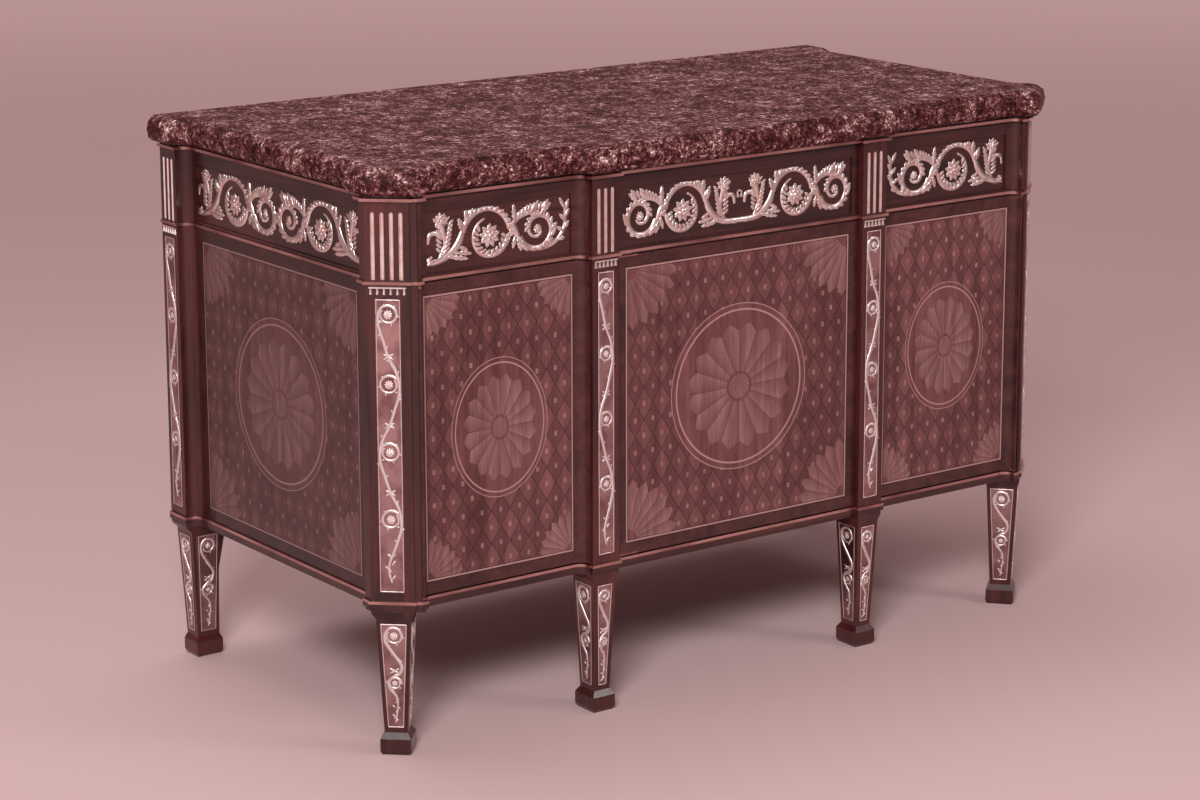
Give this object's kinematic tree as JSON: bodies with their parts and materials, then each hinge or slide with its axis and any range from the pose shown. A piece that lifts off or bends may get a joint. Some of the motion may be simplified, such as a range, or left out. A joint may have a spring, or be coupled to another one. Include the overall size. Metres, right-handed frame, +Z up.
{
  "type": "commode cabinet",
  "caption": "Breakfront commode with a marble slab, frieze drawers over cupboard doors, canted fluted pilasters with gilt mounts, and tapered square legs.",
  "frame": {"origin": "middle of the object's footprint on the floor, at floor height", "axes": "+Z up, -Y towards the viewer in front of the doors, +X to the viewer's right along the front"},
  "size_m": [1.37, 0.68, 0.895],
  "materials": {
    "marble": "polished, mottled",
    "gilt_bronze": "gilt, burnished and matt",
    "polished_plate": "polished",
    "lock_brass": "satin",
    "steel": "brushed",
    "marquetry_veneer": "french polish over marquetry",
    "dark_veneer": "french polish",
    "carcase_wood": "plain oak"
  },
  "bodies": {
    "case": {"back_frame": "carcase_wood", "back_panels": "carcase_wood", "base_moulding": "dark_veneer", "bottom_board": "dark_veneer", "catch_springs": "lock_brass", "deck_board": "dark_veneer", "drawer_dividers": "carcase_wood", "drawer_guides": "carcase_wood", "drawer_stops": "carcase_wood", "foot_blocks": "dark_veneer", "gilt_beads": "gilt_bronze", "gilt_flutes": "gilt_bronze", "guttae": "gilt_bronze", "leg_front_left": "dark_veneer", "leg_front_right": "dark_veneer", "leg_inner_left": "dark_veneer", "leg_inner_right": "dark_veneer", "leg_plates": "polished_plate", "leg_rear_left": "dark_veneer", "leg_rear_right": "dark_veneer", "lock_strike": "lock_brass", "marble_top": "marble", "partition_left": "carcase_wood", "partition_right": "carcase_wood", "pilaster_plates": "polished_plate", "pivot_sockets": "lock_brass", "post_front_left": "dark_veneer", "post_front_right": "dark_veneer", "post_inner_left": "dark_veneer", "post_inner_right": "dark_veneer", "post_rear_left": "dark_veneer", "post_rear_right": "dark_veneer", "rear_leg_brackets": "dark_veneer", "shelf_battens": "carcase_wood", "shelves": "carcase_wood", "side_frieze_left": "dark_veneer", "side_frieze_mounts": "gilt_bronze", "side_frieze_right": "dark_veneer", "side_panel_left": "marquetry_veneer", "side_panel_right": "marquetry_veneer", "top_board": "dark_veneer"},
    "door_left": {"door_hardware_left": "lock_brass", "door_panel_left": "marquetry_veneer"},
    "door_centre": {"door_hardware_centre": "lock_brass", "door_panel_centre": "marquetry_veneer"},
    "door_right": {"door_hardware_right": "lock_brass", "door_panel_right": "marquetry_veneer"},
    "drawer_left": {"drawer_box_left": "carcase_wood", "drawer_front_left": "dark_veneer", "drawer_mount_left": "gilt_bronze"},
    "drawer_centre": {"drawer_box_centre": "carcase_wood", "drawer_front_centre": "dark_veneer", "drawer_mount_centre": "gilt_bronze", "escutcheon": "gilt_bronze", "lock_case": "lock_brass"},
    "drawer_right": {"drawer_box_right": "carcase_wood", "drawer_front_right": "dark_veneer", "drawer_mount_right": "gilt_bronze"},
    "lock_bolt": {"lock_bolt": "steel"}
  },
  "joints": [
    {"name": "door_right_hinge", "type": "hinge", "parent": "case", "child": "door_right", "pos_m": [0.59673, -0.3106, 0.481], "axis": [0, 0, 1], "range_deg": [0, 95]},
    {"name": "door_left_hinge", "type": "hinge", "parent": "case", "child": "door_left", "pos_m": [-0.59673, -0.3106, 0.481], "axis": [0, 0, -1], "range_deg": [0, 95]},
    {"name": "door_centre_hinge", "type": "hinge", "parent": "case", "child": "door_centre", "pos_m": [-0.2383, -0.3056, 0.481], "axis": [0, 0, -1], "range_deg": [0, 90]},
    {"name": "drawer_left_slide", "type": "slide", "parent": "case", "child": "drawer_left", "axis": [0, -1, 0], "range_m": [0, 0.4]},
    {"name": "drawer_centre_slide", "type": "slide", "parent": "case", "child": "drawer_centre", "axis": [0, -1, 0], "range_m": [0, 0.4]},
    {"name": "drawer_right_slide", "type": "slide", "parent": "case", "child": "drawer_right", "axis": [0, -1, 0], "range_m": [0, 0.4]},
    {"name": "lock_bolt_throw", "type": "slide", "parent": "drawer_centre", "child": "lock_bolt", "axis": [0, 0, 1], "range_m": [0, 0.007]}
  ]
}
